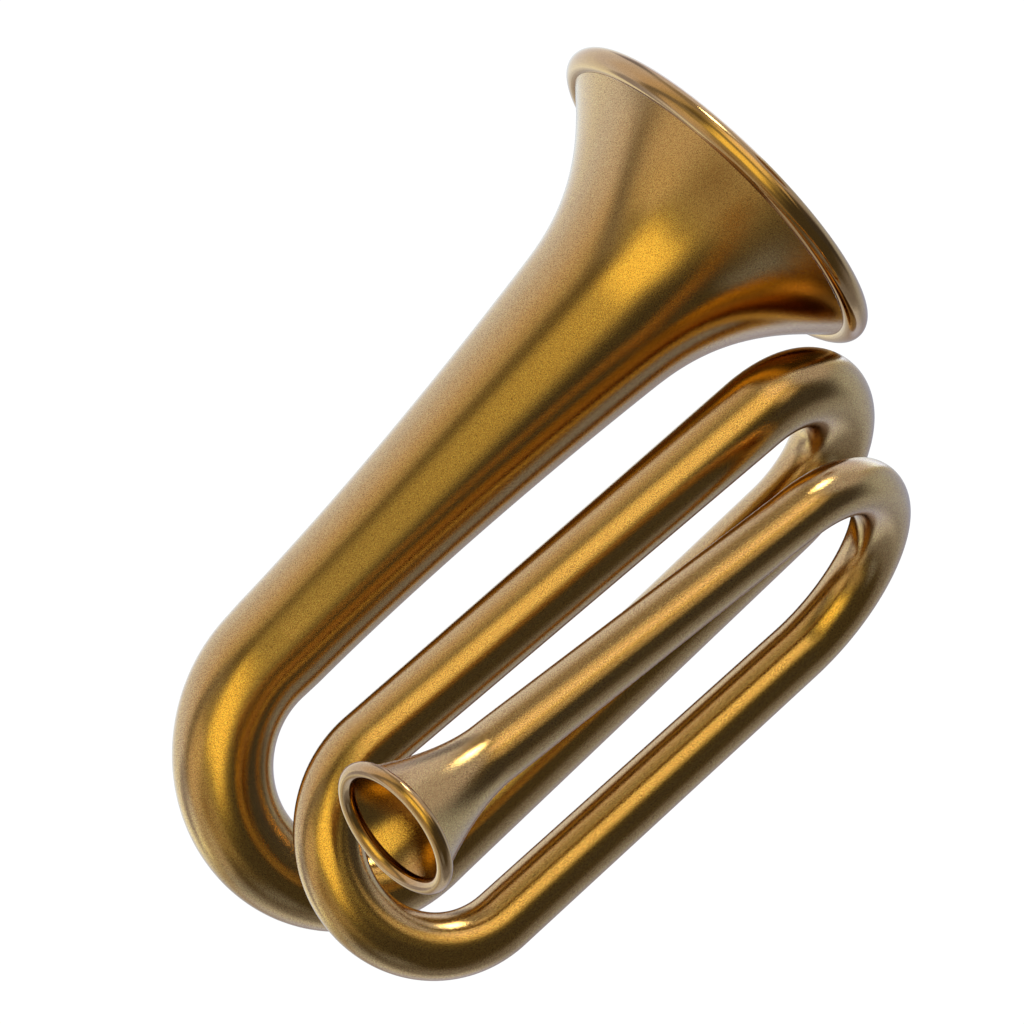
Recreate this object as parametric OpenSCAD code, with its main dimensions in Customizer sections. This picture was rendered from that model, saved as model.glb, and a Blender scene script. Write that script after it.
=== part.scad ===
// Valveless folded brass horn: a flared bell with a beaded rim, five straight
// branches joined by four U-shaped bows, a pull-out tuning slide, a tuning bit
// and a funnel mouthpiece with its own beaded rim.
//
// Frame: +Z up with the horn lying on its side. The bell opens towards +X,
// tipped up by bell_slope. The origin is the centre of the flat land on the
// front of the bell rim. Every position follows from one path that starts at
// the bell rim and runs down the bell, round each bow and along each branch
// to the mouthpiece. Radii of tubes are outer radii.

/* [Tube stock] */
// Wall thickness of the tubes, bell and bows
wall = 0.6; // [0.45:0.05:0.8]
// Wall thickness of the inner sleeves, liners and slide legs
sleeve_wall = 0.45; // [0.4:0.05:0.6]
// Radial room for solder between a sleeve and its tube
solder_gap = 0.12; // [0.1:0.02:0.2]
// Radial running clearance of the slides
run_gap = 0.05; // [0.03:0.01:0.08]
// Straight length that each bow keeps at both of its ends
bow_tangent = 6; // [5:0.5:8]

/* [Bell] */
// Length from the bell rim to the first bow
bell_len = 197.9; // [190:0.1:210]
// Radius of the circle that the rim bead follows
bell_rim_r = 56.2; // [55.6:0.1:57]
// Radius of the rim bead's own section
bell_bead_r = 4; // [3.5:0.1:4.5]
// Radius of the bell tube where it meets the first bow
bell_end_r = 16.8; // [16:0.1:17.5]
// Growth of the bell tube's radius from the first bow to the rim
bell_growth = 17.95; // [17.5:0.05:18.4]
// Curvature of that growth, where 1 is a straight cone
bell_growth_power = 1.7; // [1.6:0.05:1.8]
// Further radius that the flare adds at the rim
flare_r = 24.3; // [24:0.1:25]
// Length of the flare
flare_len = 56.2; // [54:0.1:60]
// Sharpness of the flare's curve
flare_power = 2.4; // [2.3:0.05:2.6]

/* [Coil] */
// Angle by which the bell's mouth is tipped up from level
bell_slope = 6.3; // [4:0.1:10]
// Roll of the first bow's plane
bell_bow_roll = -18.2; // [-20:0.1:-16]
// Bend radius of the first bow
bell_bow_r = 40.7; // [40:0.1:43]
// Sweep of the first bow
bell_bow_sweep = 177.6; // [176:0.2:180]
// Length of the branch at the back of the coil
back_len = 149.6; // [145:0.2:153]
// Roll of the second bow's plane
top_bow_roll = 40; // [39:0.1:43]
// Bend radius of the second bow
top_bow_r = 29.8; // [29:0.1:31]
// Sweep of the second bow
top_bow_sweep = 174.6; // [172:0.1:176]
// Length of the middle branch
middle_len = 158.2; // [155:0.2:162]
// Roll of the tuning-slide bow's plane
slide_bow_roll = 47.5; // [46:0.1:49]
// Bend radius of the tuning-slide bow
slide_bow_r = 33.5; // [32.5:0.1:34.5]
// Sweep of the tuning-slide bow; the slide runs midway between its two ends
slide_bow_sweep = 181.3; // [180:0.1:181.5]
// Length of the lower branch
lower_len = 123.8; // [121:0.2:127]
// Roll of the last bow's plane
end_bow_roll = 52.9; // [51:0.1:55]
// Bend radius of the last bow
end_bow_r = 38.5; // [37.5:0.1:39.5]
// Sweep of the last bow
end_bow_sweep = 170.4; // [169:0.2:173]
// Length of the leadpipe and mouthpiece together
lead_len = 169.2; // [166:0.2:172]

/* [Tube radii] */
// Sharpness of the first bow's taper, where 1 is even along the bow
bell_bow_taper = 1.4; // [1:0.05:1.5]
// Outer radius of the back branch at the first bow
back_r0 = 12.3; // [12.3:0.1:13.2]
// Outer radius of the back branch at the second bow
back_r1 = 12.2; // [12:0.1:12.3]
// Outer radius of the middle branch at the second bow
middle_r0 = 11.95; // [11.7:0.05:12]
// Outer radius of the middle branch at the tuning slide
middle_r1 = 10.8; // [10.6:0.1:11]
// Outer radius of the lower branch at the tuning slide
lower_r0 = 9.95; // [9.8:0.05:10.1]
// Outer radius of the lower branch at the last bow
lower_r1 = 9.3; // [9.2:0.1:9.5]
// Outer radius of the leadpipe at the last bow
lead_r0 = 8.5; // [8.4:0.1:8.8]
// Outer radius of the leadpipe where the mouthpiece starts
lead_r1 = 9.7; // [9.5:0.1:9.9]

/* [Slides] */
// Length of each tuning-slide leg beyond its bow
leg_len = 33; // [30:1:36]
// Length of the tuning bit inside the leadpipe
bit_len = 28; // [24:1:30]

/* [Mouthpiece] */
// Length of the mouthpiece from its rim to the leadpipe
mouth_len = 46; // [45:0.5:50]
// Radius of the circle that the mouthpiece bead follows
mouth_rim_r = 20.3; // [20:0.1:20.8]
// Radius of the mouthpiece bead's own section
mouth_bead_r = 2.45; // [2.3:0.05:2.6]
// Radius that the mouthpiece funnel gains from its tube to its rim
mouth_flare = 11.4; // [11:0.1:11.8]
// Length of the mouthpiece funnel
mouth_flare_len = 39; // [38:0.5:40]
// Sharpness of the funnel's curve
mouth_flare_power = 1.7; // [1.6:0.05:1.8]
// Smallest bore of the mouthpiece throat
throat_bore = 7.6; // [6:0.2:9]

/* [Finish] */
// Facets round each bent tube
bow_facets = 32; // [24:4:40]
// Steps along each bend
bow_steps = 18; // [14:2:22]

/* [Hidden] */
$fn = 96;

brass = [0.80, 0.56, 0.22];
bronze = [0.72, 0.48, 0.20];
nickel = [0.74, 0.72, 0.66];
steel = [0.55, 0.56, 0.58];

// ---- the path: a state is [position, direction of travel, bend normal] ----
function spin(v, axis, angle) =
  v * cos(angle) + cross(axis, v) * sin(angle)
  + axis * (axis * v) * (1 - cos(angle));
function side(state) = cross(state[1], state[2]);
function ahead(state, distance) =
  [state[0] + distance * state[1], state[1], state[2]];
function rolled(state, angle) =
  [state[0], state[1], spin(state[2], state[1], angle)];
// The centre of the bend lies at radius along the bend normal
function bent(state, radius, angle) =
  let (axis = side(state), normal = spin(state[2], axis, angle))
  [state[0] + radius * (state[2] - normal), spin(state[1], axis, angle), normal];
function reversed(state) = [state[0], -state[1], state[2]];

// Distance from the rim's flat land to the bead's centre plane
land_depth = bell_bead_r * 0.94;
rim_land = [[0, 0, 0], [-cos(bell_slope), 0, -sin(bell_slope)], [0, -1, 0]];
rim_centre = ahead(rim_land, land_depth);
bell_end = ahead(rim_centre, bell_len);
bell_bow_start = rolled(bell_end, bell_bow_roll);
back_start = bent(bell_bow_start, bell_bow_r, bell_bow_sweep);
back_end = ahead(back_start, back_len);
top_bow_start = rolled(back_end, top_bow_roll);
middle_start = bent(top_bow_start, top_bow_r, top_bow_sweep);
middle_end = ahead(middle_start, middle_len);
slide_bow_start = rolled(middle_end, slide_bow_roll);
lower_start = bent(slide_bow_start, slide_bow_r, slide_bow_sweep);
lower_end = ahead(lower_start, lower_len);
end_bow_start = rolled(lower_end, end_bow_roll);
lead_start = bent(end_bow_start, end_bow_r, end_bow_sweep);
lead_end = ahead(lead_start, lead_len - mouth_len);
// The mouthpiece is drawn from its bead's centre plane back to the leadpipe
mouth_centre = reversed(ahead(lead_start, lead_len - mouth_bead_r));

// ---- helpers ----
function lerp(a, b, t) = a + (b - a) * t;

// Heights from z0 to z1, crowded towards z0
function crowded(z0, z1, steps, power) =
  [for (i = [0 : steps]) lerp(z0, z1, pow(i / steps, power))];

// Places a child that is drawn along +Z at a state, +Z along the travel
module at(state) {
  x = state[2];
  y = side(state);
  z = state[1];
  origin = state[0];
  multmatrix([[x[0], y[0], z[0], origin[0]],
              [x[1], y[1], z[1], origin[1]],
              [x[2], y[2], z[2], origin[2]],
              [0, 0, 0, 1]])
    children();
}

// Slope of the outline at one of its points
function slope(outline, i) =
  let (a = outline[max(0, i - 1)], b = outline[min(len(outline) - 1, i + 1)])
  (b[0] - a[0]) / (b[1] - a[1]);

// Shell turned from a list of [radius, height] points on its outer side; the
// wall is measured square to the outline
module turned(outline, thickness) {
  inner = [for (i = [len(outline) - 1 : -1 : 0])
    [outline[i][0] - thickness * sqrt(1 + pow(slope(outline, i), 2)),
     outline[i][1]]];
  rotate_extrude() polygon(concat(outline, inner));
}

// Straight tapered tube from z0 to z1
module tube(z0, r0, z1, r1, thickness)
  turned([[r0, z0], [r1, z1]], thickness);

module bead(ring_r, section_r)
  rotate_extrude() translate([ring_r, 0]) circle(section_r);

// Flared shell, cut back so that its rim bead just clears it
module funnel(outline, rim_r, bead_r)
  difference() {
    turned(outline, wall);
    bead(rim_r, bead_r + 0.01);
  }

// Straight branch between the tangents of two bows
module branch(start, length, r0, r1)
  at(start) tube(bow_tangent, r0, length - bow_tangent, r1, wall);

// Each bow stops this far short of the planes in which it meets other tubes
joint_gap = 0.01;
// The movable bow stops further short, so that it never rubs
slide_joint_gap = 0.04;

// [state, outer radius] stations of a bow: its entry tangent, bend and exit
function bow_path(start, bend_r, sweep, r0, r1, gap, taper) =
  let (tangent = bow_tangent - gap, arc = bend_r * sweep * PI / 180,
       total = arc + 2 * tangent)
  concat(
    [[ahead(start, -tangent), r0]],
    [for (i = [0 : bow_steps])
      [bent(start, bend_r, sweep * i / bow_steps),
       lerp(r1, r0, pow(1 - (tangent + arc * i / bow_steps) / total, taper))]],
    [[ahead(bent(start, bend_r, sweep), tangent), r1]]);

// Two triangles that share the diagonal from a to c
function quad(a, b, c, d) = [[a, b, c], [a, c, d]];
// Index of a point; the outer rings come first, then the inner ones
function corner(ring, i) = ring * bow_facets + i % bow_facets;

// Shell swept along a list of [state, outer radius] stations
module swept(stations, thickness) {
  count = len(stations);
  last = count - 1;
  points = [for (inset = [0, thickness]) for (station = stations)
    for (i = [0 : bow_facets - 1])
      let (state = station[0], angle = 360 * i / bow_facets)
      state[0] + (station[1] - inset)
        * (cos(angle) * state[2] + sin(angle) * side(state))];
  faces = [for (i = [0 : bow_facets - 1]) each concat(
    // Outer side
    [for (j = [0 : last - 1]) each quad(
      corner(j, i), corner(j + 1, i), corner(j + 1, i + 1), corner(j, i + 1))],
    // Inner side
    [for (j = [count : count + last - 1]) each quad(
      corner(j, i), corner(j, i + 1), corner(j + 1, i + 1), corner(j + 1, i))],
    // Annular ends
    quad(corner(0, i), corner(0, i + 1),
         corner(count, i + 1), corner(count, i)),
    quad(corner(last, i), corner(count + last, i),
         corner(count + last, i + 1), corner(last, i + 1)))];
  polyhedron(points = points, faces = faces, convexity = 8);
}

module bow(start, bend_r, sweep, r0, r1, gap = joint_gap, taper = 1)
  swept(bow_path(start, bend_r, sweep, r0, r1, gap, taper), wall);

// ---- bell ----
// Outer radius of the bell at a distance from the bead's centre plane
function bell_r(z) =
  bell_end_r + bell_growth * pow(max(0, 1 - z / bell_len), bell_growth_power)
  + flare_r * pow(max(0, 1 - z / flare_len), flare_power);
bell_outline = [
  for (z = crowded(bell_bead_r * 0.65, bell_len - bow_tangent, 40, 2.2))
    [bell_r(z), z]];

module bell()
  color(brass) at(rim_centre) funnel(bell_outline, bell_rim_r, bell_bead_r);

// Rim bead: a rolled tube with a narrow flat land on its front
land_cutter_len = 5;
land_cutter_margin = 10;
module bell_rim()
  color(bronze) at(rim_centre) difference() {
    bead(bell_rim_r, bell_bead_r);
    bead(bell_rim_r, bell_bead_r - wall);
    translate([0, 0, -land_depth - land_cutter_len])
      cylinder(r = bell_rim_r + land_cutter_margin, h = land_cutter_len);
  }

// Wire inside the bead, clear of a full wall's depth behind the land
wire_gap = 0.1;
module bell_rim_wire()
  color(steel) at(rim_centre) bead(bell_rim_r, land_depth - wall - wire_gap);

// ---- bows and branches ----
bell_joint_r = bell_r(bell_len - bow_tangent);
module bell_bow()
  color(brass) bow(bell_bow_start, bell_bow_r, bell_bow_sweep,
    bell_joint_r, back_r0, taper = bell_bow_taper);

module back_branch()
  color(brass) branch(back_start, back_len, back_r0, back_r1);

module top_bow()
  color(brass) bow(top_bow_start, top_bow_r, top_bow_sweep,
    back_r1, middle_r0);

module middle_branch()
  color(brass) branch(middle_start, middle_len, middle_r0, middle_r1);

module slide_bow()
  color(brass) bow(slide_bow_start, slide_bow_r, slide_bow_sweep,
    middle_r1, lower_r0, gap = slide_joint_gap);

module lower_branch()
  color(brass) branch(lower_start, lower_len, lower_r0, lower_r1);

module end_bow()
  color(brass) bow(end_bow_start, end_bow_r, end_bow_sweep,
    lower_r1, lead_r0);

module leadpipe()
  color(brass) at(lead_start)
    tube(bow_tangent, lead_r0, lead_len - mouth_len - 2 * joint_gap, lead_r1,
      wall);

// ---- sleeves, solder joints and the tuning slide ----
// A bent tube's bore is a polygon, so its clear radius is a little less
in_bow = cos(180 / bow_facets);
// How far a sleeve or a leg's root reaches into a bow's tangent
sleeve_reach = bow_tangent - 0.6;
// How far a liner or the receiver reaches beyond the part that slides in it
liner_extra = 3;
// How far a liner's mouth lies inside its branch
liner_recess = 0.15;
// How far short of the joint a leg's wide root ends
root_recess = 0.4;

liner_len = leg_len + liner_extra;
// The slide pulls along the direction midway between its two branches, so
// each leg crosses its branch's axis at a very small angle
slide_tilt = (slide_bow_sweep - 180) / 2;
slide_axis = spin(slide_bow_start[1], side(slide_bow_start), slide_tilt);
liner_room = (liner_len / 2 + 1) * tan(slide_tilt);
root_room = (liner_len / 2 + bow_tangent) * tan(slide_tilt);

// The liners fit inside the narrowest part of the bore that they cover
function liner_r(branch_r) = branch_r - wall - solder_gap - liner_room;
upper_liner_r = liner_r(middle_r1);
lower_liner_r = liner_r(
  lerp(lower_r0, lower_r1, (liner_len + 1) / (lower_len - 2 * bow_tangent)));

// State of a leg: starts at the joint and runs into the branch that starts at
// the given state, crossing its axis halfway along the liner
function leg_state(start) =
  let (travel = -slide_axis,
       crossing = ahead(start, liner_len / 2),
       normal = start[2] - (start[2] * travel) * travel)
  [crossing[0] - liner_len / 2 * travel, travel, normal / norm(normal)];
upper_leg = leg_state(reversed(ahead(middle_end, -bow_tangent)));
lower_leg = leg_state(ahead(lower_start, bow_tangent));

module liner(radius)
  tube(liner_recess, radius, liner_len, radius, sleeve_wall);

// A leg has a wider root that is soldered into the bow
module leg(bow_r, liner_r) {
  root_r = bow_r * in_bow - wall - solder_gap - root_room;
  outer_r = liner_r - sleeve_wall - run_gap;
  inner_r = outer_r - sleeve_wall;
  rotate_extrude() polygon([
    [inner_r, -sleeve_reach], [root_r, -sleeve_reach],
    [root_r, -root_recess], [outer_r, -root_recess],
    [outer_r, leg_len], [inner_r, leg_len]]);
}

module slide_liner_upper()
  color(nickel) at(upper_leg) liner(upper_liner_r);
module slide_liner_lower()
  color(nickel) at(lower_leg) liner(lower_liner_r);
module slide_leg_upper()
  color(nickel) at(upper_leg) leg(middle_r1, upper_liner_r);
module slide_leg_lower()
  color(nickel) at(lower_leg) leg(lower_r0, lower_liner_r);

// A short sleeve inside a fixed joint, centred on it, that follows the bore
// of a tube of outer radius tube_r; growth is in radius per millimetre
module sleeve(joint, tube_r, growth) {
  middle_r = tube_r * in_bow - wall - solder_gap;
  change = growth * sleeve_reach;
  at(joint) tube(-sleeve_reach, middle_r - change,
    sleeve_reach, middle_r + change, sleeve_wall);
}

// Extra radial room for the sleeve in the bell's steeper taper
bell_sleeve_room = 0.2;
module sleeve_bell()
  color(bronze) sleeve(ahead(bell_end, -bow_tangent),
    bell_joint_r - bell_sleeve_room, growth = -0.012);
module sleeve_back_lower()
  color(bronze) sleeve(ahead(back_start, bow_tangent), back_r0, growth = -0.01);
module sleeve_back_upper()
  color(bronze) sleeve(ahead(back_end, -bow_tangent), back_r1, growth = -0.008);
module sleeve_middle()
  color(bronze) sleeve(ahead(middle_start, bow_tangent), middle_r0, growth = -0.008);
module sleeve_lower()
  color(bronze) sleeve(ahead(lower_end, -bow_tangent), lower_r1, growth = -0.005);
module sleeve_lead()
  color(bronze) sleeve(ahead(lead_start, bow_tangent), lead_r0, growth = 0);

// ---- tuning bit ----
socket_len = 13;
// How far the bit stops short of the socket's end
bit_end_gap = 0.6;
receiver_recess = 0.1;
receiver_len = bit_len + liner_extra;
// Outer radius of the leadpipe where the receiver ends, inside it
receiver_end_r = lerp(lead_r0, lead_r1,
  (lead_len - mouth_len - receiver_len - bow_tangent)
  / (lead_len - mouth_len - bow_tangent));
bit_r = receiver_end_r - wall - solder_gap - sleeve_wall - run_gap;
bit_bore_r = bit_r + run_gap;

// Liner whose outside follows the leadpipe and whose bore is straight
module receiver()
  color(nickel) at(reversed(lead_end)) rotate_extrude() polygon([
    [bit_bore_r, receiver_recess],
    [lead_r1 - wall - solder_gap, receiver_recess],
    [receiver_end_r - wall - solder_gap, receiver_len],
    [bit_bore_r, receiver_len]]);

module tuning_bit()
  color(nickel) at(lead_end)
    tube(-bit_len, bit_r, socket_len - bit_end_gap, bit_r, sleeve_wall);

// ---- mouthpiece ----
// Outer radius of the mouthpiece at a distance from its bead's centre plane
function mouth_r(z) = lead_r1
  + mouth_flare * pow(max(0, 1 - z / mouth_flare_len), mouth_flare_power);
// Radius of a part that fits inside the mouthpiece there
function mouth_fit(z) = mouth_r(z) - solder_gap
  - wall * sqrt(1 + pow(mouth_r(z + 0.5) - mouth_r(z - 0.5), 2));
cup_len = mouth_len - mouth_bead_r;
mouth_outline = [for (z = crowded(mouth_bead_r * 0.6, cup_len, 24, 1.5))
  [mouth_r(z), z]];

module mouthpiece_cup()
  color(brass) at(mouth_centre)
    funnel(mouth_outline, mouth_rim_r, mouth_bead_r);

module mouthpiece_rim()
  color(bronze) at(mouth_centre) bead(mouth_rim_r, mouth_bead_r);

// Both inserts follow the inside of the mouthpiece
module mouthpiece_socket()
  color(nickel) at(mouth_centre) rotate_extrude() polygon(concat(
    [[bit_bore_r, cup_len - socket_len], [bit_bore_r, cup_len]],
    [for (i = [0 : 8]) let (z = cup_len - socket_len * i / 8)
      [mouth_fit(z), z]]));

// The throat's bore narrows in a cone from the socket side, runs straight and
// then opens in a quarter ellipse towards the rim
throat_len = 8;
throat_cone_len = 2;
throat_cone_growth = 1.5;
throat_straight_len = 1;
throat_edge = 0.4; // radial width left at the rim end
throat_r = throat_bore / 2;
throat_back = cup_len - socket_len - 0.2;
throat_front = throat_back - throat_len;
throat_curve_back = throat_back - throat_cone_len - throat_straight_len;
throat_curve_len = throat_curve_back - throat_front;
module mouthpiece_throat()
  color(bronze) at(mouth_centre) rotate_extrude() polygon(concat(
    [for (i = [0 : 6]) let (z = throat_front + throat_len * i / 6)
      [mouth_fit(z), z]],
    [[throat_r + throat_cone_growth, throat_back],
     [throat_r, throat_back - throat_cone_len]],
    [for (angle = [0 : 9 : 90])
      [lerp(throat_r, mouth_fit(throat_front) - throat_edge, sin(angle)),
       throat_curve_back - throat_curve_len * (1 - cos(angle))]]));

bell();
bell_rim();
bell_rim_wire();
bell_bow();
back_branch();
top_bow();
middle_branch();
slide_bow();
slide_leg_upper();
slide_leg_lower();
slide_liner_upper();
slide_liner_lower();
lower_branch();
end_bow();
leadpipe();
receiver();
tuning_bit();
mouthpiece_cup();
mouthpiece_rim();
mouthpiece_throat();
mouthpiece_socket();
sleeve_bell();
sleeve_back_lower();
sleeve_back_upper();
sleeve_middle();
sleeve_lower();
sleeve_lead();
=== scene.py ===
"""A coiled brass horn without valves: bell, four bows, tuning slide and mouthpiece.

The face of the bell's rim is centred on the origin. The bell opens along +X, tilted up by
SLOPE, and the tube's path is followed from there to the mouthpiece.
"""
import math
from typing import NamedTuple

import bpy
from mathutils import Matrix, Vector


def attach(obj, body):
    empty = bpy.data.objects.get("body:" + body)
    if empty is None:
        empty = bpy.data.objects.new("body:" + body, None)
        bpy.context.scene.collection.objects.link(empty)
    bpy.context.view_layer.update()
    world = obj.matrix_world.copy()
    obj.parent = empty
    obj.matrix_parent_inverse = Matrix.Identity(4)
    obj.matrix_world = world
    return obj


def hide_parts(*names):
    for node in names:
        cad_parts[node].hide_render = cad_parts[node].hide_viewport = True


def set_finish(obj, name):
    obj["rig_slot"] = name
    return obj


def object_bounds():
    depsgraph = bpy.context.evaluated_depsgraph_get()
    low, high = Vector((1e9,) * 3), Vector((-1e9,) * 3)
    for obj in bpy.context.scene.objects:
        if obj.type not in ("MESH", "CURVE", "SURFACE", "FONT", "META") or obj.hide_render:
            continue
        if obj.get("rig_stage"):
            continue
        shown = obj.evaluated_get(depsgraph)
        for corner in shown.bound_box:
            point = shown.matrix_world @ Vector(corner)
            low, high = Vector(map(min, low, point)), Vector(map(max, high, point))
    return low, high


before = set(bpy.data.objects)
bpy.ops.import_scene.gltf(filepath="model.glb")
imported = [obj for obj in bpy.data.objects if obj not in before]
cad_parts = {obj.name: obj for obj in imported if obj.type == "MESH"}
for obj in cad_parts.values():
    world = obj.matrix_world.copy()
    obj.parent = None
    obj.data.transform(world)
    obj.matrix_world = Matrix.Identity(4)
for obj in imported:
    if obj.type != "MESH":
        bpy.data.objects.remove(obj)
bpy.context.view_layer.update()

MM = 0.001
SCENE = bpy.context.scene


class Bend(NamedTuple):
    roll: float     # turn of the bend's plane about the tube, degrees
    radius: float
    sweep: float    # degrees


# ------------------------------------------------------------------ sizes, mm and degrees
WALL = 0.6                  # of the main tube
SLEEVE = 0.45               # wall of sleeves, liners, slide legs and tuning bit
SOLDER = 0.12               # gap between soldered parts
RUN = 0.05                  # gap between sliding parts
STRAIGHT = 6.0              # straight end of a bow
REACH = STRAIGHT - 0.6      # how far an inner part reaches into that end
EDGE = 0.012                # softening of tube ends
FLAT = math.cos(math.pi / 32)   # radius to the flats of a 32-sided circle of radius 1

SLOPE = 6.3
BELL_LEN, BELL_RIM, BEAD = 197.9, 56.2, 4.0
LAND = BEAD * 0.94          # height at which the bell's bead is flattened
BELL_END = 16.8             # radius at the narrow end
GROWTH, GROWTH_POWER = 17.95, 1.7
FLARE, FLARE_LEN, FLARE_POWER = 24.3, 56.2, 2.4

BELL_BOW = Bend(roll=-18.2, radius=40.7, sweep=177.6)
TOP_BOW = Bend(roll=40.0, radius=29.8, sweep=174.6)
SLIDE_BOW = Bend(roll=47.5, radius=33.5, sweep=181.3)
END_BOW = Bend(roll=52.9, radius=38.5, sweep=170.4)
BACK_LEN, MIDDLE_LEN, LOWER_LEN = 149.6, 158.2, 123.8
# outer radii at the start and end of each straight tube
BACK_R = (12.3, 12.2)
MIDDLE_R = (11.95, 10.8)
LOWER_R = (9.95, 9.3)
LEAD_R = (8.5, 9.7)
BELL_BOW_R = (None, BACK_R[0])   # its start is taken from the bell's outline below

MOUTH_LEN, MOUTH_RIM, MOUTH_BEAD = 46.0, 20.3, 2.45
MOUTH_FLARE, MOUTH_FLARE_LEN, MOUTH_FLARE_POWER = 11.4, 39.0, 1.7
CUP = MOUTH_LEN - MOUTH_BEAD    # mouthpiece length above its bead's centre
LEAD_LEN = 169.2                # with the mouthpiece
LEAD_PIPE = LEAD_LEN - MOUTH_LEN
THROAT_R, THROAT_LEN = 3.8, 8

LEG = 33.0                  # running length of a slide leg
LINER = LEG + 3
BIT = 28.0                  # tuning bit inside the leadpipe
RECEIVER = BIT + 3
SOCKET = 13.0               # tuning bit's socket in the mouthpiece


# ------------------------------------------------------------------ the path
def rotated(vector, axis, degrees):
    return Matrix.Rotation(math.radians(degrees), 3, axis) @ vector


def lerp(a, b, t):
    return a + (b - a) * t


class Station(NamedTuple):
    """A frame on the tube's path; the normal points to the centre of a bend."""
    place: Vector
    heading: Vector
    normal: Vector
    roll: float     # so far, degrees
    travel: float   # distance so far
    sense: int      # 1 looking along the path, -1 looking back

    def ahead(self, length):
        return self._replace(place=self.place + length * self.heading,
                             travel=self.travel + length * self.sense)

    def rolled(self, degrees):
        return self._replace(normal=rotated(self.normal, self.heading, degrees),
                             roll=self.roll + degrees)

    def bent(self, radius, degrees):
        axis = self.heading.cross(self.normal)
        normal = rotated(self.normal, axis, degrees)
        return self._replace(place=self.place + radius * self.normal - radius * normal,
                             heading=rotated(self.heading, axis, degrees), normal=normal,
                             travel=self.travel + radius * math.radians(degrees))

    def back(self):
        return self._replace(heading=-self.heading, sense=-self.sense)

    def point(self, x, y, z):
        side = self.heading.cross(self.normal)
        return self.place + x * self.normal + y * side + z * self.heading

    def tube(self, angle, along):
        """Texture coordinate: a 12 mm cylinder unrolled along the whole path."""
        turn = math.radians(self.roll) + self.sense * angle
        return Vector((12 * math.cos(turn), 12 * math.sin(turn),
                       self.travel + self.sense * along))


slope = math.radians(SLOPE)
rim_face = Station(Vector((0, 0, 0)), Vector((-math.cos(slope), 0, -math.sin(slope))),
                   Vector((0, -1, 0)), 0.0, 0.0, 1)
bell_start = rim_face.ahead(LAND)
bell_end = bell_start.ahead(BELL_LEN)
bell_bow = bell_end.rolled(BELL_BOW.roll)
back_start = bell_bow.bent(BELL_BOW.radius, BELL_BOW.sweep)
back_end = back_start.ahead(BACK_LEN)
top_bow = back_end.rolled(TOP_BOW.roll)
middle_start = top_bow.bent(TOP_BOW.radius, TOP_BOW.sweep)
middle_end = middle_start.ahead(MIDDLE_LEN)
slide_bow = middle_end.rolled(SLIDE_BOW.roll)
lower_start = slide_bow.bent(SLIDE_BOW.radius, SLIDE_BOW.sweep)
lower_end = lower_start.ahead(LOWER_LEN)
end_bow = lower_end.rolled(END_BOW.roll)
lead_start = end_bow.bent(END_BOW.radius, END_BOW.sweep)
lead_end = lead_start.ahead(LEAD_PIPE)
mouth_start = lead_start.ahead(LEAD_LEN).ahead(-MOUTH_BEAD).back()


# ------------------------------------------------------------------ outlines
def bell_radius(z):
    return (BELL_END + GROWTH * max(0.0, 1 - z / BELL_LEN) ** GROWTH_POWER
            + FLARE * max(0.0, 1 - z / FLARE_LEN) ** FLARE_POWER)


def mouth_radius(z):
    return LEAD_R[1] + MOUTH_FLARE * max(0.0, 1 - z / MOUTH_FLARE_LEN) ** MOUTH_FLARE_POWER


def inside(outline, z, gap=0.0):
    """Radius of the inner face, one wall square to the outline's slope."""
    step = 0.25
    slope = (outline(z + step) - outline(z - step)) / (2 * step)
    return outline(z) - gap - WALL * math.sqrt(1 + slope * slope)


def mouth_fit(z):
    """Radius of a part soldered inside the mouthpiece."""
    return inside(mouth_radius, z, SOLDER)


BELL_BOW_R = (bell_radius(BELL_LEN - STRAIGHT), BACK_R[0])


# ------------------------------------------------------------------ meshes
def signed_volume(points, faces):
    volume = 0.0
    for face in faces:
        first = points[face[0]]
        for i in range(1, len(face) - 1):
            volume += first.dot(points[face[i]].cross(points[face[i + 1]]))
    return volume


def build(name, shells, sharp=32):
    """shells: (rings, hole). Each ring is a closed loop of (position, tube coordinate)."""
    points, tube, faces = [], [], []
    for rings, hole in shells:
        base, n, count = len(points), len(rings[0]), len(rings)
        for ring_points in rings:
            for point, coord in ring_points:
                points.append(point)
                tube.append(coord)
        shell = []
        for j in range(count):
            row, following = base + j * n, base + (j + 1) % count * n
            for i in range(n):
                k = (i + 1) % n
                shell.append((row + i, following + i, following + k, row + k))
        if (signed_volume(points, shell) < 0) != hole:
            shell = [tuple(reversed(face)) for face in shell]
        faces += shell
    mesh = bpy.data.meshes.new(name)
    mesh.from_pydata([p * MM for p in points], [], faces)
    mesh.validate()
    layer = mesh.attributes.new("tube", "FLOAT_VECTOR", "POINT")
    layer.data.foreach_set("vector", [x * MM for coord in tube for x in coord])
    mesh.shade_smooth()
    mesh.set_sharp_from_angle(angle=math.radians(sharp))
    mesh.update()
    obj = bpy.data.objects.new(name, mesh)
    SCENE.collection.objects.link(obj)
    return obj


def ring(station, radius, height, along, segments):
    """A circle round a station's axis; along is its distance in the tube coordinate."""
    points = []
    for i in range(segments):
        angle = 2 * math.pi * i / segments
        x, y = radius * math.cos(angle), radius * math.sin(angle)
        points.append((station.point(x, y, height), station.tube(angle, along)))
    return points


def turned(station, loop, segments):
    """Rings of a closed loop of (radius, height) turned round a station's axis."""
    rings, run, last = [], 0.0, loop[0]
    for r, z in loop:
        run += math.hypot(r - last[0], z - last[1])
        last = (r, z)
        rings.append(ring(station, r, z, loop[0][1] + run, segments))
    return rings


def revolve(name, station, loop, segments, sharp=32, hollow=None):
    shells = [(turned(station, loop, segments), False)]
    if hollow:
        shells.append((turned(station, hollow, segments), True))
    return build(name, shells, sharp)


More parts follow.
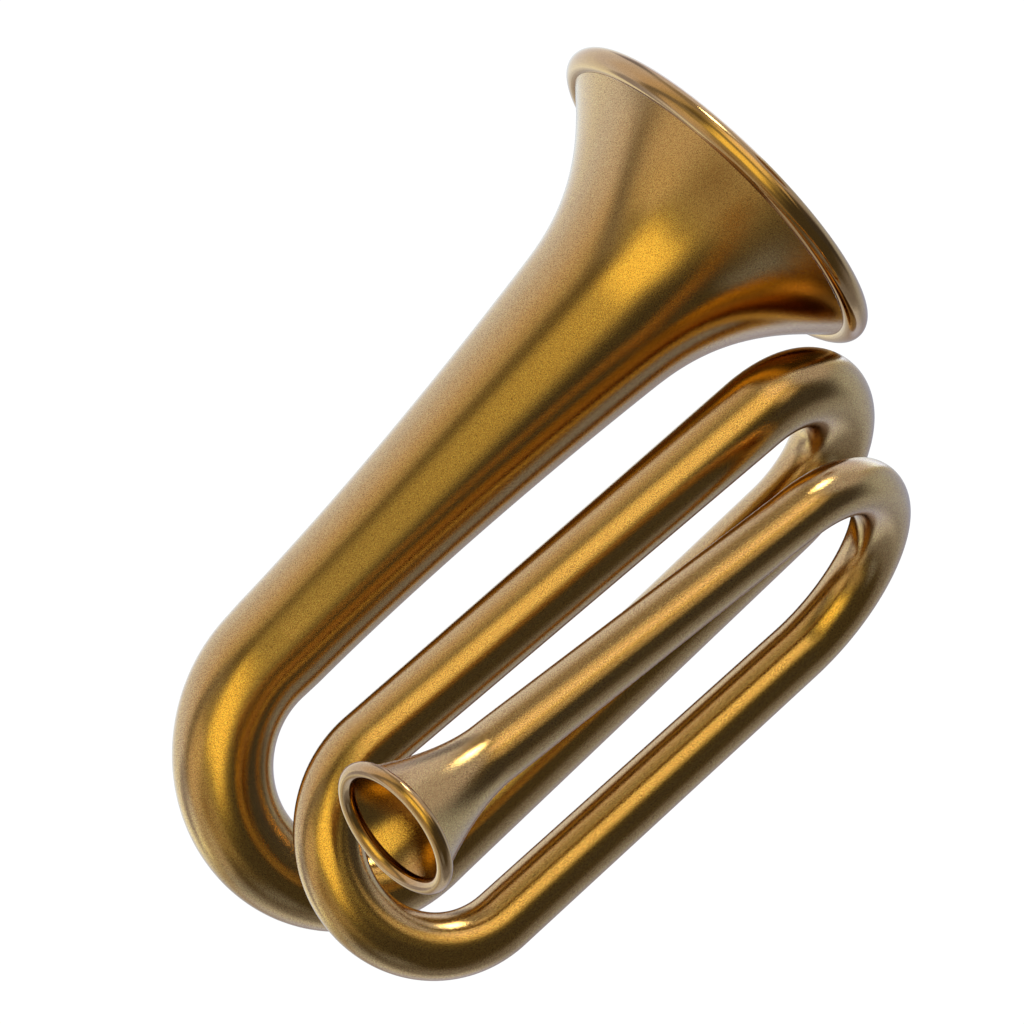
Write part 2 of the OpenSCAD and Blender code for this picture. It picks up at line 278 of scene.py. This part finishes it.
def pipe(name, station, heights, radii, wall=WALL, steps=24, segments=160, edge=EDGE):
    """A straight tapered tube with softened outer ends."""
    def at(t):
        return lerp(*radii, t), lerp(*heights, t)

    (r0, z0), (r1, z1) = at(0), at(1)
    loop = [(r0 - edge, z0), (r0, z0 + edge)]
    loop += [at(i / steps) for i in range(1, steps)]
    loop += [(r1, z1 - edge), (r1 - edge, z1)]
    for i in range(4, -1, -1):
        r, z = at(i / 4)
        loop.append((r - wall, z))
    return revolve(name, station, loop, segments)


def bow(name, start, bend, radii, steps=84, segments=128, gap=0.01, taper=1.0):
    """A bent tube with a straight end on both sides, each short of its neighbour by gap."""
    straight = STRAIGHT - gap
    arc = bend.radius * math.radians(bend.sweep)
    whole = arc + 2 * straight

    def ring_at(run, inset=0):
        if run < straight:
            station = start.ahead(run - straight)
        elif run > straight + arc:
            station = start.bent(bend.radius, bend.sweep).ahead(run - straight - arc)
        else:
            station = start.bent(bend.radius, bend.sweep * (run - straight) / arc)
        left = 1 - min(1, max(0, run / whole))
        radius = lerp(radii[1], radii[0], left ** taper)
        return ring(station, radius - inset, 0, 0, segments)

    outer = [EDGE] + [straight * i / 3 for i in (1, 2)]
    outer += [straight + arc * i / steps for i in range(steps + 1)]
    outer += [straight + arc + straight * i / 3 for i in (1, 2)] + [whole - EDGE]
    inner = [0.0, straight] + [straight + arc * i / 32 for i in range(1, 33)] + [whole]
    rings = [ring_at(0.0, EDGE)] + [ring_at(run) for run in outer] + [ring_at(whole, EDGE)]
    rings += [ring_at(run, WALL) for run in reversed(inner)]
    return build(name, [(rings, False)])


def meet(outline, ring_r, tube_r):
    """Height at which an outline leaves the bead's round section."""
    low, high = 0.0, tube_r * 2
    for _ in range(50):
        middle = (low + high) / 2
        if (outline(middle) - ring_r) ** 2 + middle * middle < tube_r ** 2:
            low = middle
        else:
            high = middle
    return (low + high) / 2


def beaded(name, station, outline, ring_r, bead, top, power, steps, segments):
    """A flared shell that grows out of the back of its bead; power crowds steps to the rim."""
    tube_r = bead + 0.03

    def side(face):
        """Points up a face from the bead, and its angle round the bead's section."""
        foot = meet(face, ring_r, tube_r)
        heights = [foot + (top - foot) * (i / steps) ** power for i in range(steps + 1)]
        return [(face(z), z) for z in heights], math.atan2(foot, face(foot) - ring_r)

    outer, outer_angle = side(outline)
    inner, inner_angle = side(lambda z: inside(outline, z))
    loop = []
    for i in range(1, 5):
        angle = lerp(inner_angle, outer_angle, i / 5)
        loop.append((ring_r + tube_r * math.cos(angle), tube_r * math.sin(angle)))
    end = outer[-1][0]
    loop += outer[:-1] + [(end, top - EDGE), (end - EDGE, top)] + inner[::-1]
    return revolve(name, station, loop, segments, sharp=38)


def circle(ring_r, radius, steps, cut=math.inf):
    """A round section, flattened at the height -cut."""
    points = []
    for i in range(steps):
        angle = 2 * math.pi * (i + 0.5) / steps - math.pi / 2
        points.append((ring_r + radius * math.cos(angle), max(radius * math.sin(angle), -cut)))
    return points


PIECES = {}


def add_piece(obj, body, slot):
    """Files a piece under its CAD node, which is its name without _vm."""
    node = obj.name[:-3]
    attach(obj, body)
    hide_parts(node)
    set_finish(obj, slot)
    PIECES[node] = obj


# ------------------------------------------------------------------ bell
add_piece(beaded("bell_vm", bell_start, bell_radius, BELL_RIM, BEAD, top=BELL_LEN - STRAIGHT,
                 power=1.7, steps=90, segments=224), "horn", "satin_brass")
add_piece(revolve("bell_rim_vm", bell_start, circle(BELL_RIM, BEAD, 56, LAND), 288, sharp=60,
                  hollow=circle(BELL_RIM, BEAD - WALL, 24)), "horn", "bead_brass")
# the wire clears the bead's hollow and its flattened face
add_piece(revolve("bell_rim_wire_vm", bell_start, circle(BELL_RIM, LAND - WALL - 0.1, 20), 192,
                  sharp=60), "horn", "steel_wire")


# ------------------------------------------------------------------ bows and branches
def branch(name, start, end, radii):
    add_piece(pipe(name, start, (STRAIGHT, end), radii), "horn", "satin_brass")


add_piece(bow("bell_bow_vm", bell_bow, BELL_BOW, BELL_BOW_R, steps=96, segments=144, taper=1.4),
          "horn", "satin_brass")
branch("back_branch_vm", back_start, BACK_LEN - STRAIGHT, BACK_R)
add_piece(bow("top_bow_vm", top_bow, TOP_BOW, (BACK_R[1], MIDDLE_R[0])), "horn", "satin_brass")
branch("middle_branch_vm", middle_start, MIDDLE_LEN - STRAIGHT, MIDDLE_R)
add_piece(bow("slide_bow_vm", slide_bow, SLIDE_BOW, (MIDDLE_R[1], LOWER_R[0]), gap=0.04),
          "tuning_slide", "satin_brass")
branch("lower_branch_vm", lower_start, LOWER_LEN - STRAIGHT, LOWER_R)
add_piece(bow("end_bow_vm", end_bow, END_BOW, (LOWER_R[1], LEAD_R[0])), "horn", "satin_brass")
branch("leadpipe_vm", lead_start, LEAD_PIPE, LEAD_R)

# ------------------------------------------------------------------ tuning slide
# The branches are not quite parallel. Legs and liners share the direction between them, so
# they are thinned by the room that the tilt takes up.
tilt = (SLIDE_BOW.sweep - 180) / 2
slide_axis = -rotated(slide_bow.heading, slide_bow.heading.cross(slide_bow.normal), tilt)
liner_room = (LINER / 2 + 1) * math.tan(math.radians(tilt))
root_room = (LINER / 2 + STRAIGHT) * math.tan(math.radians(tilt))
lower_r = lerp(*LOWER_R, (LINER + 1) / (LOWER_LEN - 2 * STRAIGHT))


def along_slide(station):
    """Turns a station to the slide's direction about the middle of its liner."""
    middle = station.ahead(LINER / 2).place
    normal = station.normal - station.normal.dot(slide_axis) * slide_axis
    return station._replace(place=middle - LINER / 2 * slide_axis, heading=slide_axis,
                            normal=normal.normalized())


def slide_leg(name, station, root_r, run_r):
    """A thick root inside the bow, then a long running tube."""
    edge, steps, shoulder = 0.12, 20, -0.4
    bore = run_r - SLEEVE
    loop = [(bore, -REACH), (root_r - edge, -REACH), (root_r, -REACH + edge),
            (root_r, shoulder - edge), (root_r - edge, shoulder), (run_r, shoulder)]
    loop += [(run_r, LEG * k / steps) for k in range(steps)]
    loop += [(run_r, LEG - edge), (run_r - edge, LEG)]
    loop += [(bore, LEG * k / 4) for k in (4, 3, 2, 1, 0)]
    return revolve(name, station, loop, 128)


# side, station, radius of the bow's end, radius of the branch round the liner
SLIDE_SIDES = (
    ("upper", along_slide(middle_end.ahead(-STRAIGHT).back()), MIDDLE_R[1], MIDDLE_R[1]),
    ("lower", along_slide(lower_start.ahead(STRAIGHT)), LOWER_R[0], lower_r),
)
for side, station, bow_r, branch_r in SLIDE_SIDES:
    root_r = bow_r * FLAT - WALL - SOLDER - root_room
    run_r = branch_r - WALL - SOLDER - liner_room - SLEEVE - RUN
    add_piece(slide_leg(f"slide_leg_{side}_vm", station, root_r, run_r),
              "tuning_slide", "nickel_silver")
for side, station, bow_r, branch_r in SLIDE_SIDES:
    liner_r = branch_r - WALL - SOLDER - liner_room
    add_piece(pipe(f"slide_liner_{side}_vm", station, (0.15, LINER), (liner_r, liner_r), SLEEVE,
                   steps=6, segments=96), "horn", "nickel_silver")

# ------------------------------------------------------------------ solder sleeves
# name, station, outer radius of the tube round it, change of radius per mm
SLEEVES = (
    ("bell", bell_end.ahead(-STRAIGHT), BELL_BOW_R[0] - 0.2, -0.012),
    ("back_lower", back_start.ahead(STRAIGHT), BACK_R[0], -0.01),
    ("back_upper", back_end.ahead(-STRAIGHT), BACK_R[1], -0.008),
    ("middle", middle_start.ahead(STRAIGHT), MIDDLE_R[0], -0.008),
    ("lower", lower_end.ahead(-STRAIGHT), LOWER_R[1], -0.005),
    ("lead", lead_start.ahead(STRAIGHT), LEAD_R[0], 0.0),
)
for name, station, tube_r, taper in SLEEVES:
    middle_r = tube_r * FLAT - WALL - SOLDER
    add_piece(pipe(f"sleeve_{name}_vm", station, (-REACH, REACH),
                   (middle_r - taper * REACH, middle_r + taper * REACH), SLEEVE,
                   steps=4, segments=96), "horn", "inner_brass")

# ------------------------------------------------------------------ tuning bit and mouthpiece
receiver_r = lerp(*LEAD_R, (LEAD_PIPE - RECEIVER - STRAIGHT) / (LEAD_PIPE - STRAIGHT))
bit_r = receiver_r - WALL - SOLDER - SLEEVE - RUN
bore = bit_r + RUN
BORE_EDGE = 0.1


def receiver():
    """The lining of the leadpipe's end, in which the tuning bit slides."""
    loop = [(bore + BORE_EDGE, 0)]
    loop += [(lerp(LEAD_R[1], receiver_r, k / 6) - WALL - SOLDER, RECEIVER * k / 6)
             for k in range(7)]
    loop += [(bore, RECEIVER)]
    loop += [(bore, RECEIVER * k / 6 + BORE_EDGE) for k in (5, 4, 3, 2, 1, 0)]
    return revolve("receiver_vm", lead_end.back(), loop, 128)


def socket():
    """The lining of the mouthpiece's narrow end."""
    foot = CUP - SOCKET
    loop = [(bore + BORE_EDGE, foot), (bore, foot + BORE_EDGE),
            (bore, CUP - BORE_EDGE), (bore + BORE_EDGE, CUP)]
    loop += [(mouth_fit(CUP - SOCKET * k / 12), CUP - SOCKET * k / 12) for k in range(13)]
    return revolve("mouthpiece_socket_vm", mouth_start, loop, 128)


def throat():
    """A plug with a narrow hole, rounded on the side of the cup."""
    top = CUP - SOCKET - 0.2
    foot = top - THROAT_LEN
    loop = [(mouth_fit(foot + k), foot + k) for k in range(THROAT_LEN + 1)]
    loop += [(THROAT_R + 1.5, top), (THROAT_R, top - 2)]
    for k in range(21):
        angle = math.radians(4.5 * k)
        loop.append((lerp(THROAT_R, mouth_fit(foot) - 0.4, math.sin(angle)),
                     top - 3 - (THROAT_LEN - 3) * (1 - math.cos(angle))))
    return revolve("mouthpiece_throat_vm", mouth_start, loop, 128, sharp=40)


add_piece(receiver(), "horn", "nickel_silver")
add_piece(pipe("tuning_bit_vm", lead_end, (-BIT, SOCKET - 0.6), (bit_r, bit_r), SLEEVE,
               steps=20, segments=128, edge=0.12), "tuning_bit_body", "nickel_silver")
add_piece(beaded("mouthpiece_cup_vm", mouth_start, mouth_radius, MOUTH_RIM, MOUTH_BEAD, top=CUP,
                 power=1.35, steps=56, segments=192), "mouthpiece", "satin_brass")
add_piece(revolve("mouthpiece_rim_vm", mouth_start, circle(MOUTH_RIM, MOUTH_BEAD, 48), 256,
                  sharp=60), "mouthpiece", "bead_brass")
add_piece(socket(), "mouthpiece", "nickel_silver")
add_piece(throat(), "mouthpiece", "inner_brass")


# ------------------------------------------------------------------ shader helper
def rgba(colour):
    return (*colour, 1.0)


class Nodes:
    """Adds and links the nodes of one tree."""

    def __init__(self, owner):
        owner.use_nodes = True
        self.tree = owner.node_tree
        self.tree.nodes.clear()

    def add(self, kind, inputs=None, **props):
        node = self.tree.nodes.new(kind)
        for key, value in props.items():
            setattr(node, key, value)
        for key, value in (inputs or {}).items():
            if isinstance(value, bpy.types.Node):
                value = value.outputs[0]
            if isinstance(value, bpy.types.NodeSocket):
                self.tree.links.new(value, node.inputs[key])
            else:
                node.inputs[key].default_value = value
        return node

    def math(self, operation, *values, clamp=False):
        return self.add("ShaderNodeMath", dict(enumerate(values)), operation=operation,
                        use_clamp=clamp).outputs[0]

    def vary(self, signal, amount, base, clamp=False):
        """Base plus a signal centred on 0.5, scaled by amount."""
        return self.math("MULTIPLY_ADD", self.math("SUBTRACT", signal, 0.5), amount, base,
                         clamp=clamp)

    def vector(self, operation, a, b):
        return self.add("ShaderNodeVectorMath", {0: a, 1: b}, operation=operation).outputs

    def noise(self, vector, scale, detail, rough, distortion=0.0):
        return self.add("ShaderNodeTexNoise", {
            "Vector": vector, "Scale": scale, "Detail": detail, "Roughness": rough,
            "Distortion": distortion}).outputs[0]

    def mix(self, factor, a, b, mode="MIX"):
        return self.add("ShaderNodeMix", {0: factor, 6: a, 7: b}, data_type="RGBA",
                        blend_type=mode).outputs[2]

    def camera_ray(self):
        return self.add("ShaderNodeLightPath").outputs["Is Camera Ray"]


# ------------------------------------------------------------------ metals
REFLECTED_SHADE = 0.55     # painted shade: share of its brightness that a face keeps when it is seen in another face's reflection


def metal(name, base, deep, rough, grain, streak, bump, patina=0.25):
    """Drawn streaks along the tube, fine grain, slow drift of colour and roughness.

    base, deep: clean and tarnished colour; patina: how far the colour drifts;
    rough: mean roughness, varied by grain and streak; bump: strength of the relief.
    """
    material = bpy.data.materials.new(name)
    N = Nodes(material)
    tube = N.add("ShaderNodeAttribute", attribute_name="tube").outputs["Vector"]
    here = N.add("ShaderNodeTexCoord").outputs["Object"]
    # squeezing the coordinate along the tube draws the noise out into lines
    drawn = N.vector("MULTIPLY", tube, (1.0, 1.0, 0.035))[0]
    long_drawn = N.vector("MULTIPLY", tube, (1.0, 1.0, 0.012))[0]
    streaks = N.noise(drawn, scale=1500.0, detail=4.0, rough=0.62)
    wide = N.noise(long_drawn, scale=330.0, detail=3.0, rough=0.55)
    fine = N.noise(here, scale=3600.0, detail=1.0, rough=0.6)
    slow = N.noise(here, scale=34.0, detail=4.0, rough=0.6, distortion=0.4)
    cloud = N.noise(here, scale=140.0, detail=3.0, rough=0.6)

    tarnish = N.vary(slow, 1.5 * patina, base=0.35)
    tarnish = N.vary(streaks, 0.9 * patina, tarnish)
    tarnish = N.vary(cloud, 0.7 * patina, tarnish, clamp=True)
    colour = N.mix(tarnish, rgba(base), rgba(deep))
    sparkle = N.vary(fine, 6.0 * bump, base=1.0)
    # painted shade: the colour is darkened where a face is seen in another face's reflection;
    # the camera sees the full colour
    glow = N.math("MULTIPLY_ADD", N.camera_ray(), 1 - REFLECTED_SHADE, REFLECTED_SHADE)
    shade = N.add("ShaderNodeCombineColor",
                  {channel: N.math("MULTIPLY", sparkle, glow) for channel in range(3)})
    colour = N.mix(1.0, colour, shade, "MULTIPLY")

    roughness = N.vary(streaks, streak, rough)
    roughness = N.vary(fine, grain, roughness)
    roughness = N.vary(slow, streak * 0.9, roughness)
    roughness = N.math("MAXIMUM", roughness, 0.04)

    # relief: height, strength and depth (m) of the grain, drawn lines and slight waviness
    relief = {}
    for height, strength, depth in ((fine, bump, 0.00007), (streaks, bump * 0.55, 0.00003),
                                    (wide, 0.12, 0.00016)):
        relief = {"Normal": N.add("ShaderNodeBump", {
            "Strength": strength, "Distance": depth, "Height": height, **relief})}
    surface = N.add("ShaderNodeBsdfPrincipled", {
        "Base Color": colour, "Metallic": 1.0, "Roughness": roughness, **relief})
    N.add("ShaderNodeOutputMaterial", {"Surface": surface})
    return material


METALS = {
    "satin_brass": dict(base=(0.92, 0.56, 0.17), deep=(0.80, 0.45, 0.12),
                        rough=0.11, grain=0.06, streak=0.05, bump=0.40),
    "bead_brass": dict(base=(0.88, 0.55, 0.19), deep=(0.74, 0.43, 0.12),
                       rough=0.07, grain=0.04, streak=0.05, bump=0.14, patina=0.4),
    "inner_brass": dict(base=(0.78, 0.47, 0.17), deep=(0.58, 0.31, 0.10),
                        rough=0.30, grain=0.14, streak=0.10, bump=0.45, patina=0.5),
    "nickel_silver": dict(base=(0.72, 0.69, 0.62), deep=(0.60, 0.56, 0.48),
                          rough=0.20, grain=0.08, streak=0.16, bump=0.35, patina=0.3),
    "steel_wire": dict(base=(0.52, 0.53, 0.55), deep=(0.40, 0.40, 0.41),
                       rough=0.26, grain=0.08, streak=0.14, bump=0.35, patina=0.3),
}
materials = {name: metal(name, **look) for name, look in METALS.items()}
for obj in PIECES.values():
    obj.data.materials.clear()
    obj.data.materials.append(materials[obj["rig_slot"]])

# ------------------------------------------------------------------ camera
CAMERA_AT = (-1.65717, 0.24495, 4.50346)    # metres
right = Vector((0.65701, -0.70542, 0.26592)).normalized()
up = Vector((0.68147, 0.70657, 0.19065))
up = (up - up.dot(right) * right).normalized()
toward = right.cross(up)
lens = bpy.data.cameras.new("camera")
lens.lens, lens.sensor_width = 562.56, 36.0
lens.clip_start, lens.clip_end = 0.1, 50.0
camera = bpy.data.objects.new("camera", lens)
camera.matrix_world = Matrix((*zip(right, up, toward, CAMERA_AT), (0, 0, 0, 1)))
SCENE.collection.objects.link(camera)
SCENE.camera = camera
SCENE.view_settings.view_transform = "Standard"
SCENE.view_settings.look = "None"

# ------------------------------------------------------------------ studio
# The studio is laid out in degrees: turn goes round the view's rising diagonal, with 0 behind
# the camera and + to the lower right; lift runs along that diagonal, + to the upper right.
across = (right - up).normalized()
along = (right + up).normalized()

# turn, colour of the surrounding wall
WALL_COLOURS = (
    (-180, (.62, .70, .85)), (-168, (.85, 1.0, 1.2)), (-144, (.70, .82, 1.22)),
    (-120, (.60, .69, 1.26)), (-96, (.56, .58, .93)), (-74, (.52, .47, .54)),
    (-58, (.42, .37, .31)), (-42, (.28, .25, .18)), (-20, (.33, .30, .18)),
    (10, (.34, .30, .16)), (26, (.22, .19, .11)), (44, (.11, .10, .08)),
    (84, (.085, .08, .09)), (108, (.18, .20, .34)), (140, (.30, .36, .60)),
    (165, (.33, .33, .40)), (180, (.50, .55, .65)),
)
# colour, centre (turn, lift), half size, softness of the edge, tilt; later ones lie on top
PANELS = (
    ((.56, .62, 1.10), (-148, 50), (44, 24), .4, 0),
    ((.22, .25, .47), (-128, 34), (24, 5), .6, 18),
    ((1.0, 1.35, 2.4), (-174, 34), (10, 12), .6, 0),
    ((.30, .33, .60), (-138, -55), (36, 8), .5, 0),
    ((.50, .45, .48), (-60, -66), (34, 22), .4, 0),         # warm grey
    ((.31, .27, .22), (2, -60), (36, 16), .5, 0),
    ((.24, .19, .15), (-8, -62), (10, 6), .8, 0),
    ((.27, .25, .28), (-74, 52), (32, 17), .5, 0),          # duller corner by the lamp
    ((.19, .18, .21), (-72, -32), (46, 7.5), .7, 47),       # slanting flag
    ((.53, .47, .42), (-42, -42), (11, 10), .5, 0),
    ((.13, .11, .075), (-37, 11), (11, 14), .6, 0),
    ((.055, .05, .042), (57, 3), (30, 45), .35, 0),         # tall flag
    ((.05, .05, .065), (84, 42), (30, 15), .5, 0),
    ((.30, .27, .15), (-6, 19), (30, 5), .6, 0),
    ((.94, .80, .50), (-6, 44), (24, 16), .45, 0),          # second warm panel
    ((.84, .75, .69), (-33, 49), (13, 6), .5, 0),
    ((.91, .80, .76), (-11, 57), (16, 9), .45, 0),          # its cooler upper end
    ((.53, .46, .39), (33, 53), (11, 9), .6, 0),
    ((1.04, .86, .29), (-6, -10.5), (20.5, 19), .45, 0),    # main warm panel
    ((.15, .17, .28), (76, -42), (12, 10), .6, 0),
    ((.46, .55, .92), (142, -32), (18, 22), .4, 0),         # cool panel
    ((.36, .45, .76), (146, 34), (26, 24), .5, 0),
    ((.39, .41, .68), (0, 84), (400, 16), .5, 0),           # upper end of the diagonal
    ((.95, 1.1, 1.7), (-73, 71), (25, 6), .6, 0),           # glow round the lamp
    ((.40, .40, .50), (0, -90), (400, 16), .5, 0),          # lower end of the diagonal
)
LAMP_AT = (-72, 66)
LAMP = ((9.0, 8.8, 8.5), LAMP_AT, (15, 5.2), .2, 0)


def wall(W, turn):
    factor = W.math("MULTIPLY_ADD", turn, 1 / 360, 0.5)
    node = W.add("ShaderNodeValToRGB", {0: factor})
    node.color_ramp.interpolation = "EASE"
    stops = node.color_ramp.elements
    while len(stops) < len(WALL_COLOURS):
        stops.new(1.0)
    for k, (degrees, colour) in enumerate(WALL_COLOURS):
        stops[k].position = (degrees + 180) / 360
        stops[k].color = rgba(colour)
    return node.outputs[0]


def panel(W, turn, lift, under, colour, centre, half_size, soft, tilt):
    """Lays a soft-edged light panel or flag over the sky under it."""
    cos, sin = math.cos(math.radians(tilt)), math.sin(math.radians(tilt))
    (t0, l0), (w, h) = centre, half_size
    u = W.math("MULTIPLY_ADD", turn, cos / w, -(t0 * cos + l0 * sin) / w)
    u = W.math("ABSOLUTE", W.math("MULTIPLY_ADD", lift, sin / w, u))
    v = W.math("MULTIPLY_ADD", turn, -sin / h, (t0 * sin - l0 * cos) / h)
    v = W.math("ABSOLUTE", W.math("MULTIPLY_ADD", lift, cos / h, v))
    mask = W.add("ShaderNodeMapRange", {
        "Value": W.math("SMOOTH_MAX", u, v, 0.5), "From Min": 1 - soft, "From Max": 1 + soft,
        "To Min": 1.0, "To Max": 0.0}, interpolation_type="SMOOTHSTEP")
    return W.mix(mask, under, rgba(colour))


def studio():
    """Panels for the reflections; the camera itself sees white."""
    world = bpy.data.worlds.new("studio")
    SCENE.world = world
    W = Nodes(world)
    ray = W.add("ShaderNodeTexCoord").outputs["Generated"]
    x, y, z = (W.vector("DOT_PRODUCT", ray, tuple(axis))["Value"]
               for axis in (across, along, toward))
    degrees = 180 / math.pi
    turn = W.math("MULTIPLY", W.math("ARCTAN2", x, z), degrees)
    lift = W.math("MULTIPLY", W.math("ARCSINE", y), degrees)
    # the wall and panels are warped by a few degrees, the lamp is not
    warped_turn = W.vary(W.noise(ray, scale=2.2, detail=2.0, rough=0.5), 14.0, turn)
    warped_lift = W.vary(W.noise(ray, scale=3.1, detail=2.0, rough=0.5), 12.0, lift)
    sky = wall(W, warped_turn)
    for entry in PANELS:
        sky = panel(W, warped_turn, warped_lift, sky, *entry)
    sky = panel(W, turn, lift, sky, *LAMP)
    seen = W.mix(W.camera_ray(), sky, rgba((1, 1, 1)))
    light = W.add("ShaderNodeBackground", {"Color": seen, "Strength": 1.0})
    W.add("ShaderNodeOutputWorld", {"Surface": light})


def flat_object(name, points):
    """A single face, in metres."""
    mesh = bpy.data.meshes.new(name)
    mesh.from_pydata(points, [], [tuple(range(len(points)))])
    obj = bpy.data.objects.new(name, mesh)
    SCENE.collection.objects.link(obj)
    return obj


def lamp_flag():
    """A dark disc, seen only in reflections, that keeps the lamp off the top bow."""
    shaded, distance, radius = Vector((-0.0387, -0.0496, 0.0272)), 0.10, 0.0155
    material = bpy.data.materials.new("flag")
    L = Nodes(material)
    dark = L.add("ShaderNodeEmission", {"Color": rgba((0.17, 0.10, 0.06)), "Strength": 1.0})
    L.add("ShaderNodeOutputMaterial", {"Surface": dark})
    turn, lift = (math.radians(a) for a in LAMP_AT)
    level = math.sin(turn) * across + math.cos(turn) * toward
    beam = math.cos(lift) * level + math.sin(lift) * along
    centre = shaded + distance * beam
    e1 = beam.cross(toward).normalized()
    e2 = beam.cross(e1)
    angles = [2 * math.pi * i / 48 for i in range(48)]
    flag = flat_object("flag0", [
        tuple(centre + radius * math.cos(a) * e1 + radius * math.sin(a) * e2) for a in angles])
    flag.data.materials.append(material)
    flag.visible_camera = flag.visible_diffuse = False
    flag.visible_shadow = flag.visible_transmission = False
    flag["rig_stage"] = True


def pale_floor(height):
    """A glowing floor that the metal does not reflect."""
    half = 6.0
    floor = flat_object("floor", [(x * half, y * half, height)
                                  for x, y in ((-1, -1), (1, -1), (1, 1), (-1, 1))])
    material = bpy.data.materials.new("floor")
    F = Nodes(material)
    matt = F.add("ShaderNodeBsdfDiffuse", {"Color": rgba((0.9, 0.9, 0.9))})
    glow = F.add("ShaderNodeEmission", {"Color": rgba((1, 1, 1)), "Strength": 1.12})
    mixed = F.add("ShaderNodeMixShader", {0: 0.9, 1: matt, 2: glow})
    F.add("ShaderNodeOutputMaterial", {"Surface": mixed})
    floor.data.materials.append(material)
    floor.visible_glossy = False
    floor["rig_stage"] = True


studio()
lamp_flag()
lo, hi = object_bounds()
pale_floor(lo.z)

lo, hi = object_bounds()
